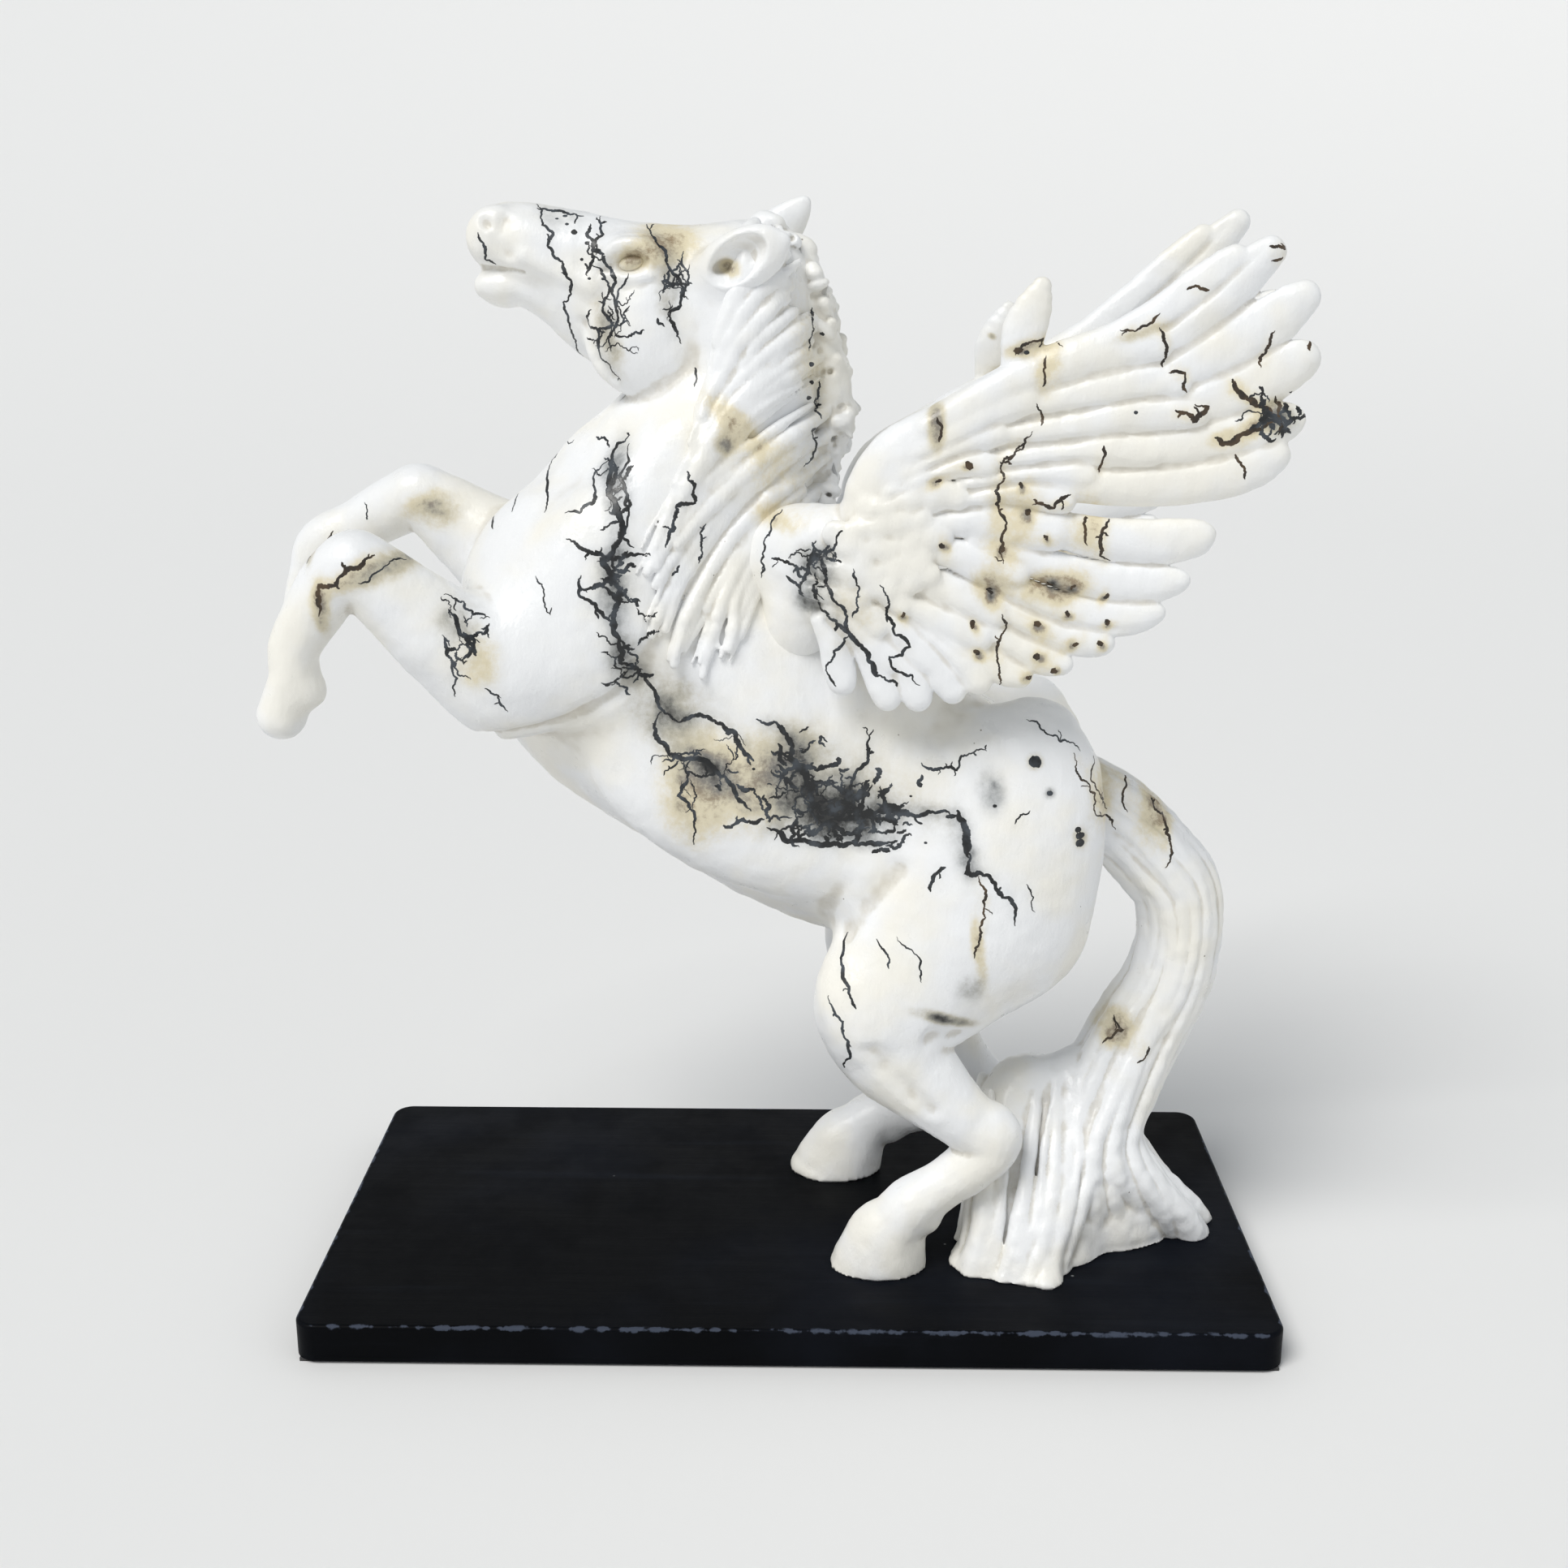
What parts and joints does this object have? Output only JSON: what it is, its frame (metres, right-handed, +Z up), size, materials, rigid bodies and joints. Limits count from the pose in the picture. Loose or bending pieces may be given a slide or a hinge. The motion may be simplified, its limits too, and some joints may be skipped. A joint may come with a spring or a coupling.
{
  "type": "winged horse statuette",
  "caption": "Rearing winged horse statuette in white smoke-veined fired clay, on a black wooden board.",
  "frame": {"origin": "middle of the underside of the felt sheet, where the statuette rests", "axes": "+Z up, the horse faces -X, its left side is -Y, the board is long along X"},
  "size_m": [0.4341, 0.2, 0.4519],
  "materials": {
    "white_clay": "burnished white fired clay with fine black and brown smoke veins",
    "black_wood": "black satin paint on wood, worn pale along its front edge",
    "felt": "black felt",
    "steel": "zinc plated"
  },
  "bodies": {
    "root": {"felt_sheet": "felt", "head": "white_clay", "left_alula_feather": "white_clay", "left_covert_panel": "white_clay", "left_ear": "white_clay", "left_eyeball": "white_clay", "left_foreleg": "white_clay", "left_hind_leg": "white_clay", "left_primary_feather_1": "white_clay", "left_primary_feather_2": "white_clay", "left_primary_feather_3": "white_clay", "left_primary_feather_4": "white_clay", "left_primary_feather_5": "white_clay", "left_primary_feather_6": "white_clay", "left_secondary_feather_1": "white_clay", "left_secondary_feather_2": "white_clay", "left_secondary_feather_3": "white_clay", "left_secondary_feather_4": "white_clay", "left_secondary_feather_5": "white_clay", "left_secondary_feather_6": "white_clay", "left_tertial_feathers": "white_clay", "left_wing_arm": "white_clay", "mane_crest": "white_clay", "mane_locks_left": "white_clay", "mane_locks_right": "white_clay", "mounting_studs": "steel", "neck": "white_clay", "plinth_board": "black_wood", "right_alula_feather": "white_clay", "right_covert_panel": "white_clay", "right_ear": "white_clay", "right_eyeball": "white_clay", "right_foreleg": "white_clay", "right_hind_leg": "white_clay", "right_primary_feather_1": "white_clay", "right_primary_feather_2": "white_clay", "right_primary_feather_3": "white_clay", "right_primary_feather_4": "white_clay", "right_primary_feather_5": "white_clay", "right_primary_feather_6": "white_clay", "right_secondary_feather_1": "white_clay", "right_secondary_feather_2": "white_clay", "right_secondary_feather_3": "white_clay", "right_secondary_feather_4": "white_clay", "right_secondary_feather_5": "white_clay", "right_secondary_feather_6": "white_clay", "right_tertial_feathers": "white_clay", "right_wing_arm": "white_clay", "stud_nuts": "steel", "stud_washers": "steel", "tail": "white_clay", "torso": "white_clay"}
  },
  "joints": []
}
